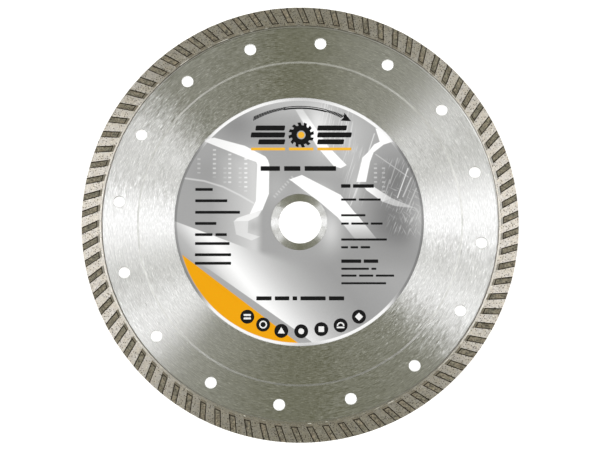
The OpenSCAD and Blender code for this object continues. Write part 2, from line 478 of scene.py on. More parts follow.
def pressed_matrix():
    """Notch floors and the cutting edge, as they come from the press: matt, granular, grey-brown."""
    m = Mat("pressed_matrix")
    grain = m.noise(m.pos, scale=1.1, detail=3.0, rough=0.7)
    lumps = m.noise(m.pos, scale=0.75, detail=1.0)
    big = m.noise(m.pos, scale=0.4, detail=2.0)
    v = m.cells(m.pos, 1.3)
    lump = F(m.nt, v.outputs["Distance"])
    sep = m.nt.nodes.new("ShaderNodeSeparateColor")
    m.nt.links.new(v.outputs["Color"], sep.inputs[0])
    speck = (1.0 - lump.step(0.20, 0.36)) * F(m.nt, sep.outputs[0]).step(0.62, 0.68)
    glint = (1.0 - lump.step(0.16, 0.30)) * (1.0 - F(m.nt, sep.outputs[0]).step(0.14, 0.20))
    warm = m.mix(big.ramp(0.35, 0.65), (0.184, 0.158, 0.112), (0.152, 0.141, 0.105))
    col = m.tint(warm, (1.0 + (grain - 0.5) * 3.2 + (lumps - 0.5) * 1.8).max(0.2))
    col = m.mix(speck * 0.75, col, (0.060, 0.048, 0.030))
    col = m.mix(glint * 0.7, col, (0.46, 0.43, 0.34))
    return m.set(color=col, metal=0.2, rough=0.72 + (grain - 0.5) * 0.2, spec=0.3,
                 normal=m.bump(grain * 0.6 + (0.5 - lump) * 0.5, 0.05, 0.9))


def notch_wall():
    """The steep pressed walls, with dust in them, coloured near-black as painted shadow."""
    m = Mat("notch_wall")
    grain = m.noise(m.pos, scale=1.6, detail=3.0, rough=0.65)
    # painted shadow: near-black colour standing in for the shade in the notches
    col = m.tint((0.024, 0.019, 0.012), 0.9 + (grain - 0.5) * 1.6)
    return m.set(color=col, metal=0.0, rough=0.8 + (grain - 0.5) * 0.1, spec=0.12, normal=m.bump(grain, 0.05, 0.8))


def diamond():
    m = Mat("diamond")
    tone = m.noise(m.pos, scale=0.9, detail=1.0)
    col = m.mix(tone.ramp(0.35, 0.65), (0.42, 0.40, 0.20), (0.30, 0.30, 0.20))
    return m.set(color=col, metal=0.0, rough=0.14 + (tone - 0.5) * 0.1, ior=2.2)


LABEL_K = 0.88      # albedo that this light shows as full white


def film_print():
    """The label's printed ground: silver-grey gradients, plain light ribbons, an orange segment and a light edge ring."""
    m = Mat("film_print")
    x, y = m.x, m.y
    fx, fy = m.x - float(FILM_C[0]), m.y - float(FILM_C[1])
    r = (fx * fx + fy * fy).sqrt()

    def blob(px, py, sx, sy):
        q = ((x - px) / sx) * ((x - px) / sx) + ((y - py) / sy) * ((y - py) / sy)
        return (q * -1.0).op("EXPONENT")

    def seg(ax, ay, bx, by):
        """Distance in mm from a straight stroke, and 0..1 along it."""
        dx, dy = bx - ax, by - ay
        L2 = dx * dx + dy * dy
        t = (((x - ax) * dx + (y - ay) * dy) / L2).clamp()
        ex, ey = (x - ax) - t * dx, (y - ay) - t * dy
        return (ex * ex + ey * ey).sqrt(), t

    def ribbon(points, half, soft=0.28):
        d = None
        for p, q in zip(points[:-1], points[1:]):
            s_, _ = seg(*p, *q)
            d = s_ if d is None else d.min(s_)
        return 1.0 - d.step(half - soft, half + soft)

    def poly(points, soft=0.2):
        """1 inside a convex outline, 0 outside."""
        P = [np.array(p, float) for p in points]
        turn = sum(p[0] * q[1] - q[0] * p[1] for p, q in zip(P, P[1:] + P[:1]))
        d = None
        for p, q in zip(P, P[1:] + P[:1]):
            e = (q - p) / np.linalg.norm(q - p)
            n = np.array([e[1], -e[0]]) * (1.0 if turn > 0 else -1.0)
            k = x * float(n[0]) + y * float(n[1]) - float(n @ p)
            d = k if d is None else d.max(k)
        return 1.0 - d.step(-soft, soft)

    def union(*shapes):
        total = None
        for pts in shapes:
            k = poly(pts)
            total = k if total is None else total.max(k)
        return total

    def across(ang):
        c, s_ = math.cos(math.radians(ang)), math.sin(math.radians(ang))
        return x * s_ - y * c, x * c + y * s_

    def streaks(ang, per_mm, seed, lo, hi, stretch=0.05):
        c, al = across(ang)
        return m.noise(m.vec(c * per_mm, al * stretch, seed), detail=1.0).step(lo, hi)

    def box(x0, x1, y0, y1, s_=1.5):
        return x.step(x0 - s_, x0 + s_) * (1.0 - x.step(x1 - s_, x1 + s_)) * y.step(y0 - s_, y0 + s_) * (1.0 - y.step(y1 - s_, y1 + s_))

    # silver ground, in display tones 0..1
    g = 0.636 + blob(9.5, 52, 6, 9) * 0.20 + blob(-2, 63, 26, 7) * 0.09 + blob(24, 48, 15, 13) * 0.10 + blob(27, 33, 8, 8) * 0.06
    g = g - blob(-34, 52, 10, 8) * 0.08 + x.ramp(-47.0, -25.0) * (1.0 - x.step(-24.0, -19.0)) * (1.0 - y.step(30.0, 44.0)) * 0.17
    g = g - blob(-50, 26, 9, 8) * 0.03 - blob(47, 3, 11, 12) * 0.14 - blob(51, 23, 11, 11) * 0.14 + blob(16, -4, 6, 10) * 0.17 - blob(22, -28, 9, 12) * 0.05
    g = g + blob(64, 0, 6, 12) * 0.08 + blob(8, 17, 8, 4) * 0.12 + blob(-13, 18, 7, 8) * 0.05 - blob(54, -6, 8, 8) * 0.05
    g = g - blob(-24.3, -2.2, 2.8, 3.4) * 0.09
    g = g - x.step(14.0, 34.0) * (1.0 - y.step(-8.0, 4.0)) * 0.035 + blob(12, 35, 9, 8) * 0.06 + blob(29, 18, 4, 10) * 0.10
    # light wedge sweeping up from the orange segment, brightest along a slanting ridge
    ridge = (x + 31.0) * 0.777 + (y + 28.0) * 0.63
    glow = ridge.curve([(-30, 0.62), (-18, 0.65), (-12, 0.71), (-6, 0.88), (-1, 0.97), (1, 0.97), (6, 0.90), (12, 0.81), (18, 0.735), (24, 0.68), (30, 0.635),
                        (38, 0.60), (48, 0.62), (60, 0.645), (90, 0.65)])
    brow = x.ramp(-66.0, -45.0) * -7.8 + x.ramp(-45.0, -25.0) * -7.6 + x.ramp(-25.0, -5.0) * -5.4 + x.ramp(-5.0, 66.0) * -4.6 + 0.6
    blur = 0.25 + x.ramp(-32.0, 8.0) * 6.0
    low = 1.0 - ((y - brow) / blur).step(-1.0, 1.0)
    g = g * (1.0 - low) + glow * low

    # plain light ribbons
    w1 = union([(-52, 43.6), (-45.4, 45.0), (-29.1, 40.6), (-29.1, 34.2)],
               [(-29.3, 40.7), (-22.9, 37.3), (-22.9, 31.9), (-29.3, 34.1)],
               [(-23.1, 37.4), (-18.3, 34.9), (-16.9, 33.0), (-16.2, 30.5), (-22.5, 30.3), (-23.1, 31.8)],
               [(-22.6, 31.0), (-16.2, 31.0), (-16.4, 14.8), (-23.3, 11.0)],
               [(-23.3, 11.4), (-16.4, 15.0), (-19.8, 6.5), (-26.6, 4.2)]) * (0.80 + x.ramp(-50.0, -26.0) * 0.20)
    w1b = poly([(-26.8, 4.4), (-19.9, 6.6), (-22.0, 3.2), (-27.3, 0.6), (-34.9, 0.4), (-33.0, 2.3)], 0.3) * 0.72
    w1b = w1b.max(union([(-34.9, 0.6), (-27.2, 0.8), (-27.6, -6.8), (-33.6, -6.5)], [(-33.8, -6.3), (-27.8, -5.5), (-21.0, -7.6), (-25.5, -9.6)]) * 0.40)
    w2 = union([(-5.6, 22.7), (1.0, 25.1), (21.4, 14.5), (9.8, 11.1)], [(9.6, 11.3), (21.2, 14.7), (29.5, 4.3), (19.5, 2.8)],
               [(19.0, 3.5), (29.3, 4.9), (40.5, -9.0), (29.0, -9.0)]) * (1.0 - y.ramp(3.0, -9.0) * 0.80)
    w3 = poly([(9.3, 39.8), (15.6, 39.6), (24.6, 30.3), (21.5, 28.7), (18.0, 29.5)]).max(
         poly([(-2.5, 60.0), (1.5, 60.0), (15.6, 39.4), (9.3, 39.6)], 0.4) * (1.0 - y.step(50.0, 59.0) * 0.55))
    w4 = union([(39.9, 49.9), (45.5, 47.5), (49.0, 42.8), (43.6, 41.0), (42.2, 42.4)], [(42.6, 43.0), (43.9, 41.0), (38.8, 37.0), (35.8, 37.0), (39.1, 41.3)],
               [(35.9, 37.2), (38.9, 37.2), (36.8, 31.6), (32.3, 31.6), (32.9, 34.3)], [(32.3, 31.8), (36.9, 31.8), (34.8, 21.4), (29.7, 21.4)])
    w5 = poly([(33.5, 19.0), (38.5, 19.0), (48.5, 12.6), (43.5, 10.8), (35.0, 16.9)]) * (0.95 - x.ramp(36.0, 50.0) * 0.45)
    w5 = w5.max(poly([(43.4, 10.9), (48.4, 12.7), (61.0, 7.4), (50.0, 8.6)], 0.3) * (0.5 - x.ramp(50.0, 62.0) * 0.25))
    white = w1.max(w1b).max(w2).max(w3).max(w4).max(w5)

    # faint drawn marks: a sweep, rows of ticks, streaks
    line = [(-60.5, 23.3), (-50.6, 21.9), (-40.6, 18.8), (-31.4, 14.2), (-24.6, 10.2)]
    near = None
    for p, q in zip(line[:-1], line[1:]):
        dd, _ = seg(*p, *q)
        near = dd if near is None else near.min(dd)
    sweep = 1.0 - near.step(0.15, 0.75)
    dots, td = seg(-14.0, 13.0, -3.5, 24.5)
    dots = (1.0 - dots.step(0.5, 1.1)) * (1.0 - ((td * 9.0).op("FRACT") - 0.5).abs().step(0.15, 0.32))
    ticks = None
    for cx, y0, y1, k in ((-53.4, 26.0, 35.0, 0.40), (-45.2, 24.0, 39.0, 0.65), (-37.1, 20.0, 37.0, 0.75), (-28.6, 16.5, 35.0, 1.0), (-31.6, 19.0, 30.0, 0.40), (-39.6, 20.0, 30.0, 0.30), (44.0, 16.0, 30.0, 0.5), (39.8, 21.0, 31.0, 0.6)):
        row = ((y + 100.0) / 2.45).op("FRACT")
        t = (1.0 - (x - cx).abs().step(0.55, 1.05)) * (1.0 - (row - 0.5).abs().step(0.12, 0.24)) * y.step(y0 - 0.5, y0 + 0.5) * (1.0 - y.step(y1 - 0.5, y1 + 0.5)) * k
        ticks = t if ticks is None else ticks.max(t)
    st = streaks(69.0, 1.3, 3.0, 0.58, 0.66, 0.09) * box(42, 64, 8, 33, 2.0) * 0.75
    st = st.max(streaks(150.0, 1.2, 31.0, 0.58, 0.66, 0.16) * box(47, 64, 3, 20, 3.0) * 0.7)
    st = st.max(streaks(80.0, 1.1, 9.0, 0.55, 0.62) * box(11, 29, 36, 64, 2.0))
    st = st.max(streaks(74.0, 1.1, 17.0, 0.54, 0.62) * box(24, 33, 10, 40, 2.5))
    st = st.max(streaks(66.0, 1.5, 23.0, 0.55, 0.64, 0.14) * box(47, 64, -6, 9, 3.5))
    st = st.max(streaks(120.0, 1.5, 41.0, 0.57, 0.66, 0.18) * box(53, 64, -7, 10, 3.0) * 0.8)
    thin = None
    for ax, ay, bx, by, k in ((51.3, 13.0, 56.9, 28.5, 0.85), (54.2, 13.5, 58.6, 23.5, 0.60), (47.3, 20.5, 51.6, 34.0, 0.36),
                              (44.8, 15.0, 47.3, 22.5, 0.34), (57.2, 8.5, 61.3, 18.0, 0.45), (36.2, 37.5, 39.3, 47.0, 0.65),
                              (26.6, 9.0, 31.4, 22.0, 0.60), (22.2, 31.0, 27.5, 45.5, 0.30), (13.0, 52.0, 15.6, 60.5, 0.40)):
        dd, _ = seg(ax, ay, bx, by)
        one = (1.0 - dd.step(0.10, 0.48)) * k
        thin = one if thin is None else thin.max(one)
    dh, _ = seg(40.0, 36.0, 57.0, 24.0)
    hair = (1.0 - dh.step(0.15, 0.42)) * 0.6
    marks = (sweep * 0.50).max(ticks * 0.85).max(st * 0.40).max(hair * 0.7).max(thin).max(dots * 0.35)
    g = g * (1.0 - marks) + marks * 0.94
    g = g * (1.0 - white) + white * 0.99

    # grey band beside the orange
    c, s_ = math.cos(math.radians(-37.2)), math.sin(math.radians(-37.2))
    d2 = (x + 62.0) * -s_ + (y + 17.0) * c
    al2 = (x + 62.0) * c + (y + 17.0) * s_
    wide = al2.ramp(0.0, 16.0) * 2.2 + al2.ramp(16.0, 75.0) * 2.3 + 0.2
    grey = (1.0 - (d2 - wide).step(-0.2, 0.2)) * d2.step(-0.3, 0.1)
    g = g * (1.0 - grey) + grey * 0.655
    # edge ring, light at the top and bottom and fading at the sides
    side = fy.abs() / r.max(1.0)
    right_side = fx.step(-4.0, 6.0)
    ring = r.step(63.75, 64.15) * side.step(0.56, 0.74)
    tone = 0.955 - blob(4, 65.5, 16, 4) * 0.15 - blob(4, -64.5, 10, 3) * 0.16
    # painted shade along the label's edge: darker at the sides, and a little darker all round at the very rim
    painted_edge_shade = (1.0 - side.step(0.50, 0.72)) * r.step(64.1, 64.6)
    edge = r.step(65.1, 65.45)
    g = g * (1.0 - ring) + ring * tone
    g = g * (1.0 - painted_edge_shade * (0.16 + right_side * 0.02))
    fibre = m.noise(m.pos, scale=0.9, detail=3.0, rough=0.6)
    # the painted edge shade is applied here, with the fibre tone
    g = (g + (fibre - 0.5) * 0.018) * (1.0 - edge * 0.06)
    col = m.tint((0.997, 0.997, 1.012), (g ** 2.25) * LABEL_K)
    # orange segment
    orange = (1.0 - d2.step(-0.15, 0.15)) * (1.0 - r.step(63.75, 64.15))
    oc = m.mix(fibre.ramp(0.3, 0.7), (lin(236) * LABEL_K, lin(160) * LABEL_K, 0.0), (lin(233) * LABEL_K, lin(164) * LABEL_K, 0.0))
    col = m.mix(orange, col, oc)
    wave = m.noise(m.pos, scale=0.05, detail=2.0)
    rough = 0.42 + (fibre - 0.5) * 0.10
    return m.set(color=col, metal=0.0, rough=rough, spec=0.14,
                 normal=m.bump(wave * 4.0 + fibre * 0.12, 0.05, 0.4))


def ink(name, rgb, rough=0.42):
    m = Mat(name)
    n = m.noise(m.pos, scale=1.6, detail=2.0)
    col = m.tint(rgb, 1.0 + (n - 0.5) * 0.18)
    return m.set(color=col, rough=rough + (n - 0.5) * 0.1, spec=0.12, normal=m.bump(n, 0.003, 0.3))


def glue():
    m = Mat("glue")
    n = m.noise(m.pos, scale=1.2, detail=2.0)
    return m.set(color=m.mix(n, (0.62, 0.60, 0.54), (0.70, 0.69, 0.63)), rough=0.35 + n * 0.1,
                 normal=m.bump(n, 0.01, 0.5))


M_STEEL, M_TURNED, M_FOOT, M_SEAM = ground_steel(), turned_ring(), foot_metal(), seam()
M_RIB, M_PRESSED, M_WALL, M_DIAMOND = rib_metal(), pressed_matrix(), notch_wall(), diamond()
M_RUNOUT = runout_metal()
M_FILM, M_GLUE = film_print(), glue()
M_BLACK = ink("ink_black", (0.005, 0.005, 0.0055))
M_LIGHT = ink("ink_light", (0.74, 0.74, 0.745))
M_ORANGE = ink("ink_orange", (lin(240) * LABEL_K, lin(180) * LABEL_K, lin(50) * LABEL_K))


# ---------------------------------------------------------------- steel core
def core_disc():
    s = Soup()
    a0 = HOLE_PHASE - 180.0 / HOLES
    ang = a0 + np.arange(N) * 360.0 / N

    def rings(rows, mat, smooth=False):
        P = np.array([[(*cw(r, a), z) for a in ang] for r, z in rows])
        s.grid(P, mat, smooth, wrap=True)

    R0, R1 = 88.0, 103.8
    for side in (1, -1):
        rings([(BORE_R, side * (CORE_Z - 0.15)), (BORE_R + 0.15, side * CORE_Z)], 1)
        rings([(r, side * CORE_Z) for r in (BORE_R + 0.15, 14.0, 22.0, 34.0, 48.0, 60.0, 66.0, 72.0, 78.0, STEP_R0)], 0)
        step = [(r, side * (CORE_Z + (WEB_Z - CORE_Z) * (r - STEP_R0) / (STEP_R1 - STEP_R0))) for r in (STEP_R0, 84.84, 85.84, STEP_R1)]
        rings(step[:2], 0)
        rings(step[1:3], 1)
        rings(step[2:], 0)
        rings([(STEP_R1, side * WEB_Z), (R0, side * WEB_Z)], 0)
        rings([(R1, side * WEB_Z), (FOOT_R, side * WEB_Z)], 0)
        rings([(FOOT_R, side * WEB_Z), (TONGUE_R, side * WEB_Z)], 2)
        half = 180.0 / HOLES
        nt, ns = N // HOLES, 16
        for i in range(HOLES):
            ac = HOLE_PHASE + i * 360.0 / HOLES
            top = [(R1, -half + 2 * half * k / nt) for k in range(nt)]
            right = [(R1 + (R0 - R1) * k / ns, half) for k in range(ns)]
            bot = [(R0, half - 2 * half * k / nt) for k in range(nt)]
            left = [(R0 + (R1 - R0) * k / ns, -half) for k in range(ns)]
            edge = np.array([cw(r, ac + a) for r, a in top + right + bot + left])
            beta = np.radians(np.concatenate([-45 + 90 * np.arange(nt) / nt, 45 + 90 * np.arange(ns) / ns,
                                              135 + 90 * np.arange(nt) / nt, 225 + 90 * np.arange(ns) / ns]))
            c = np.array(cw(HOLE_R, ac))
            er = np.array(cw(1.0, ac))
            et = np.array([er[1], -er[0]])
            def circle(rad):
                return c + rad * (np.cos(beta)[:, None] * er + np.sin(beta)[:, None] * et)
            def lift(P, z):
                return np.concatenate([P, np.full((len(P), 1), z)], 1)
            near = circle(3.9)
            rows = [lift(circle(HOLE_RAD + 0.16), side * WEB_Z), lift(near, side * WEB_Z)]
            for t in (0.3, 0.65):
                rows.append(lift(near * (1 - t) + edge * t, side * WEB_Z))
            rows.append(lift(edge, side * WEB_Z))
            s.grid(np.array(rows), 0, False, wrap=True)
            s.grid(np.array([lift(circle(HOLE_RAD), side * (WEB_Z - 0.14)), lift(circle(HOLE_RAD + 0.16), side * WEB_Z)]), 1, False, wrap=True)
            if side == 1:
                zz = np.linspace(WEB_Z - 0.14, -(WEB_Z - 0.14), 5)
                s.grid(np.array([lift(circle(HOLE_RAD), z) for z in zz]), 1, True, wrap=True)
    rings([(BORE_R, z) for z in np.linspace(CORE_Z - 0.15, -(CORE_Z - 0.15), 6)], 1, True)
    rings([(TONGUE_R, z) for z in np.linspace(WEB_Z, -WEB_Z, 4)], 1, True)
    return s.build("core_disc", [M_STEEL, M_TURNED, M_SEAM])


# ---------------------------------------------------------------- foot ring
def foot_band():
    s = Soup()
    n = 768
    ang = np.arange(n) * 360.0 / n
    half = [(RIM_R, FOOT_Z, 0), (104.95, FOOT_Z, 0.2), (104.6, FOOT_Z, 0.2), (104.18, FOOT_Z - 0.004, 0.2), (104.10, FOOT_Z - 0.03, 0.2),
            (104.04, FOOT_Z - 0.09, 0.2), (FOOT_R, FOOT_Z - 0.16, 0.0), (FOOT_R, WEB_Z, 0.0), (TONGUE_R, WEB_Z, 0.0)]
    prof = half + [(r, -z, w) for r, z, w in reversed(half)]
    P = np.zeros((len(prof), n, 3))
    for j, (r, z, w) in enumerate(prof):
        wob = (hash01(np.arange(n) // 2, j * 0.0 + 3.0 + (1 if z < 0 else 0)) - 0.5) * 0.07 * w
        P[j, :, 0], P[j, :, 1] = cw(r + wob, ang)
        P[j, :, 2] = z - np.sign(z) * np.abs(hash01(np.arange(n), j + 17.0) - 0.5) * 0.03 * min(w, 1.0)
    dark = np.zeros((len(prof), n), int)
    h = len(half)
    dark[6:h] = 1
    dark[h:2 * h - 7] = 1
    s.grid(np.concatenate([P, P[:1]]), dark, False, wrap=True)
    return s.build("foot_band", [M_FOOT, M_SEAM])


# ---------------------------------------------------------------- turbo rim
NOTCH_O = np.array([-1.68, -1.60, -1.52, -1.425, -1.33, -1.25, -1.15, -0.75, -0.38, 0.0,
                    0.38, 0.75, 1.15, 1.25, 1.33, 1.425, 1.52, 1.60, 1.68])
RIB_IN = 9                                   # columns inside a rib
COLS = len(NOTCH_O) + RIB_IN                 # 28 per pitch
ROWS_R = np.array([105.2, 105.38, 105.58, 106.1, 106.70, 106.80, 106.95, 107.08, 107.22, 108.2, 109.3,
                   110.4, 111.5, 112.6, 113.7, 114.7, 114.88, 115.0])


def notch_line_angle(o, r):
    """Angle, clockwise from a notch's own zero, where the line offset by o from its middle crosses radius r."""
    d = np.array([-math.sin(SLANT), math.cos(SLANT)])
    p = np.array([math.cos(SLANT), math.sin(SLANT)])
    bx, by = o * p[0], MID_R + o * p[1]
    bd = bx * d[0] + by * d[1]
    t = -bd + np.sqrt(bd * bd - (bx * bx + by * by) + r * r)
    x, y = bx + t * d[0], by + t * d[1]
    return np.degrees(np.arctan2(x, y))


def rim_side():
    """Angles (rows x columns) and heights of one side of the rim, for notches centred at 0, PITCH, 2 PITCH..."""
    R = ROWS_R[:, None]
    base_a = notch_line_angle(NOTCH_O[None, :], R)                       # rows x 19
    nxt = notch_line_angle(NOTCH_O[:1][None, :], R) + PITCH
    t = np.arange(1, RIB_IN + 1) / (RIB_IN + 1)
    rib_a = base_a[:, -1:] * (1 - t) + nxt * t
    one = np.concatenate([base_a, rib_a], 1)
    wall = np.interp(np.abs(NOTCH_O), [0, 1.13, 1.25, 1.33, 1.52, 1.60, 1.68],
                     [FLOOR_Z, FLOOR_Z, FLOOR_Z + 0.03, FLOOR_Z + 0.12, RIM_Z - 0.12, RIM_Z - 0.035, RIM_Z - 0.004])
    wall = np.concatenate([wall, np.full(RIB_IN, RIM_Z - 0.004)])
    radial = np.interp(ROWS_R, [RAMP_R0, RAMP_R1, DEEP_R], [RIM_Z - 0.004, RUNOUT_Z, FLOOR_Z])
    z = np.maximum(wall[None, :], radial[:, None])
    z = np.minimum(z, (RIM_Z - 0.004) - np.maximum(0.0, ROWS_R[:, None] - 114.85) * 1.0)
    z[0] = FOOT_Z + 0.004
    return one, z


def turbo_rim():
    one, z1 = rim_side()
    nr = len(ROWS_R)
    C = COLS * NOTCHES
    s = Soup()
    sides = []
    inner_rows = {}
    for side in (1, -1):
        phase = NOTCH_PHASE + (0.0 if side == 1 else PITCH / 2)
        A = np.concatenate([one + phase + i * PITCH for i in range(NOTCHES)], 1)
        Z = np.tile(z1, (1, NOTCHES))
        R = np.repeat(ROWS_R[:, None], C, 1)
        ci = np.arange(C)[None, :] + (0 if side == 1 else 5000)
        ri = np.arange(nr)[:, None]
        n1 = hash01(ci, ri * 3.1) - 0.5
        n2 = hash01(ci * 1.7, ri + 0.3) - 0.5
        deep = (Z < RIM_Z - 0.02)
        corner = np.tile(np.concatenate([np.isin(np.round(np.abs(NOTCH_O), 3), (1.6, 1.68, 1.52)), np.zeros(RIB_IN, bool)]), NOTCHES)[None, :]
        inner = (ri > 0) & (ri < nr - 1)
        # pressed surfaces are granular; ribs stay ground flat
        Z = Z - np.where(deep & inner, np.abs(n1) * 0.05, 0.0)
        # worn, slightly uneven corners
        Z = Z - np.where(corner & (ri > 2) & (ri < nr), np.abs(n2) * 0.045, 0.0)
        A = A + np.where(corner & inner, n1 * 0.035, 0.0)
        R = R + np.where((ri == nr - 1), -np.abs(n1) * 0.05, 0.0)
        X, Y = cw(R, A)
        P = np.stack([X, Y, side * Z], 2)
        sides.append((P, A, R, Z))
        # materials by face: 0 rib, 1 floor, 2 wall, 3 the joint to the ring inside, 4 run-out
        zc = (Z + np.roll(Z, -1, 1))[:-1] / 4 + (Z + np.roll(Z, -1, 1))[1:] / 4
        mid = np.abs(NOTCH_O[:-1] + NOTCH_O[1:]) / 2
        col_o = np.tile(np.concatenate([mid, np.full(RIB_IN + 1, 9.0)]), NOTCHES)[None, :]
        rc = ((ROWS_R[:-1] + ROWS_R[1:]) / 2)[:, None]
        mat = np.zeros_like(zc, int)
        mat[(col_o < 1.2) & (rc > RAMP_R0 - 0.02)] = 4
        mat[(col_o < 1.2) & (rc > DEEP_R + 0.05)] = 1
        mat[(col_o > 1.18) & (col_o < 1.66) & (rc > RAMP_R0 + 0.2)] = 4
        # side walls and the step at each notch's inner end take the near-black wall material: painted shadow
        mat[(col_o > 1.18) & (col_o < 1.66) & (rc > RAMP_R1 - 0.02)] = 2
        mat[(col_o < 1.66) & (rc > RAMP_R1 - 0.02) & (rc < DEEP_R + 0.10)] = 2
        mat[0] = 3
        s.grid(P, mat.reshape(-1), False, wrap=True)
        inner_rows[side] = (A, Z, R)
    # outer and inner cylinders: front column f meets back column f - 14
    Pf, Af, Rf, Zf = sides[0]
    Pb, Ab, Rb, Zb = sides[1]
    shift = COLS // 2
    back_index = (np.arange(C) - shift) % C
    for row, steps, mat in ((nr - 1, 7, 1), (0, 2, 1)):
        af, zf = Af[row], Zf[row]
        ab, zb = Ab[row][back_index].copy(), -Zb[row][back_index]
        ab = np.where(ab - af > 180, ab - 360, ab)
        ab = np.where(ab - af < -180, ab + 360, ab)
        rf, rb = Rf[row], Rb[row][back_index]
        rows = []
        for k in range(steps + 1):
            t = k / steps
            a = af * (1 - t) + ab * t
            z = zf * (1 - t) + zb * t
            r = rf * (1 - t) + rb * t
            if 0 < k < steps and row == nr - 1:
                r = BLADE_R - np.abs(hash01(np.arange(C), k * 7.7) - 0.5) * 0.07
            X, Y = cw(r, a)
            rows.append(np.stack([X, Y, z], 1))
        s.grid(np.array(rows), mat, False, wrap=True)
    return s.build("turbo_rim", [M_RIB, M_PRESSED, M_WALL, M_FOOT, M_RUNOUT])


# ---------------------------------------------------------------- diamond grit
def cuboctahedron():
    """A truncated octahedron, the usual habit of a blocky diamond: vertices and faces."""
    v = []
    for p in ((0, 1, 2), (0, 2, 1), (1, 0, 2), (1, 2, 0), (2, 0, 1), (2, 1, 0)):
        for s0 in (1, -1):
            for s1 in (1, -1):
                q = list(p)
                nz = [i for i in range(3) if q[i] != 0]
                q[nz[0]] *= s0
                q[nz[1]] *= s1
                v.append(q)
    v = np.array(v, float)
    faces = []
    for ax in range(3):
        for sg in (1, -1):
            faces.append([i for i in range(24) if v[i][ax] == 2 * sg])
    for a in (1, -1):
        for b in (1, -1):
            for c in (1, -1):
                faces.append([i for i in range(24) if abs(v[i] @ np.array([a, b, c]) - 3) < 1e-6])
    out = []
    for f in faces:
        pts = v[f]
        c = pts.mean(0)
        n = c / np.linalg.norm(c)
        u = pts[0] - c
        u /= np.linalg.norm(u)
        w = np.cross(n, u)
        order = np.argsort([math.atan2((p - c) @ w, (p - c) @ u) for p in pts])
        out.append([f[i] for i in order])
    return v / math.sqrt(5.0), out


def grit():
    rng = np.random.RandomState(11)
    base, faces = cuboctahedron()
    V, Fc = [], []

    def rot():
        q = rng.normal(size=4)
        q /= np.linalg.norm(q)
        w, x, y, z = q
        return np.array([[1 - 2 * (y * y + z * z), 2 * (x * y - z * w), 2 * (x * z + y * w)],
                         [2 * (x * y + z * w), 1 - 2 * (x * x + z * z), 2 * (y * z - x * w)],
                         [2 * (x * z - y * w), 2 * (y * z + x * w), 1 - 2 * (x * x + y * y)]])

    def add(c, rad, clip=None):
        p = base * np.array([1.0, rng.uniform(0.85, 1.0), rng.uniform(0.8, 1.0)]) @ rot().T * rad + c
        if clip is not None:
            p = clip(p)
        k = len(V) * 24
        V.append(p)
        Fc.extend([[k + i for i in f] for f in faces])

    for i in range(NOTCHES):
        for side in (1, -1):
            ph = NOTCH_PHASE + (0.0 if side == 1 else PITCH / 2) + i * PITCH
            # in the notch floor
            for _ in range(3):
                r = rng.uniform(107.5, 114.4)
                o = rng.uniform(-0.95, 0.95)
                a = float(notch_line_angle(o, r)) + ph
                x, y = cw(r, a)
                rad = rng.uniform(0.15, 0.22)
                add(np.array([x, y, side * (FLOOR_Z - rng.uniform(0.02, 0.09))]), rad)
            # in the rib, ground flush with it
            for _ in range(5):
                r = rng.uniform(106.0, 114.2)
                t = rng.uniform(0.12, 0.88)
                a = float(notch_line_angle(1.68, r)) * (1 - t) + (float(notch_line_angle(-1.68, r)) + PITCH) * t + ph
                x, y = cw(r, a)
                rad = rng.uniform(0.12, 0.20)
                top = RIM_Z - 0.0005
                def clip(p, side=side, top=top):
                    p = p.copy()
                    p[:, 2] = np.minimum(p[:, 2] * side, top) * side
                    return p
                add(np.array([x, y, side * (RIM_Z - rng.uniform(0.02, 0.07))]), rad, clip)
        # around the cutting edge
        for _ in range(6):
            a = (i + rng.uniform(0, 1)) * PITCH
            z = rng.uniform(-0.78, 0.78)
            rad = rng.uniform(0.15, 0.22)
            x, y = cw(BLADE_R - rng.uniform(0.13, 0.20), a)
            add(np.array([x, y, z]), rad)
    return finish_mesh("grit_crystals", np.concatenate(V), Fc, [M_DIAMOND])


# ---------------------------------------------------------------- label
def sheet_piece(name, r_out, c_out, r_in, c_in, z0, z1, mat, lip=0.02):
    s = Soup()
    th = np.arange(N) * 2 * math.pi / N
    o = np.stack([c_out[0] + r_out * np.sin(th), c_out[1] + r_out * np.cos(th)], 1)
    q = np.stack([c_in[0] + r_in * np.sin(th), c_in[1] + r_in * np.cos(th)], 1)
    def row(t, z, grow=0.0):
        p = q * (1 - t) + o * t
        d = (o - q) / np.linalg.norm(o - q, axis=1)[:, None]
        return np.concatenate([p + d * grow, np.full((N, 1), z)], 1)
    rows = [row(0, z0), row(0, z1 - lip), row(0, z1, lip)]
    rows += [row(t, z1) for t in np.linspace(0.06, 0.96, 14)]
    rows += [row(1, z1, -lip), row(1, z1 - lip), row(1, z0), row(0.5, z0), row(0, z0)]
    s.grid(np.array(rows), 0, False, wrap=True)
    return s.build(name, [mat])


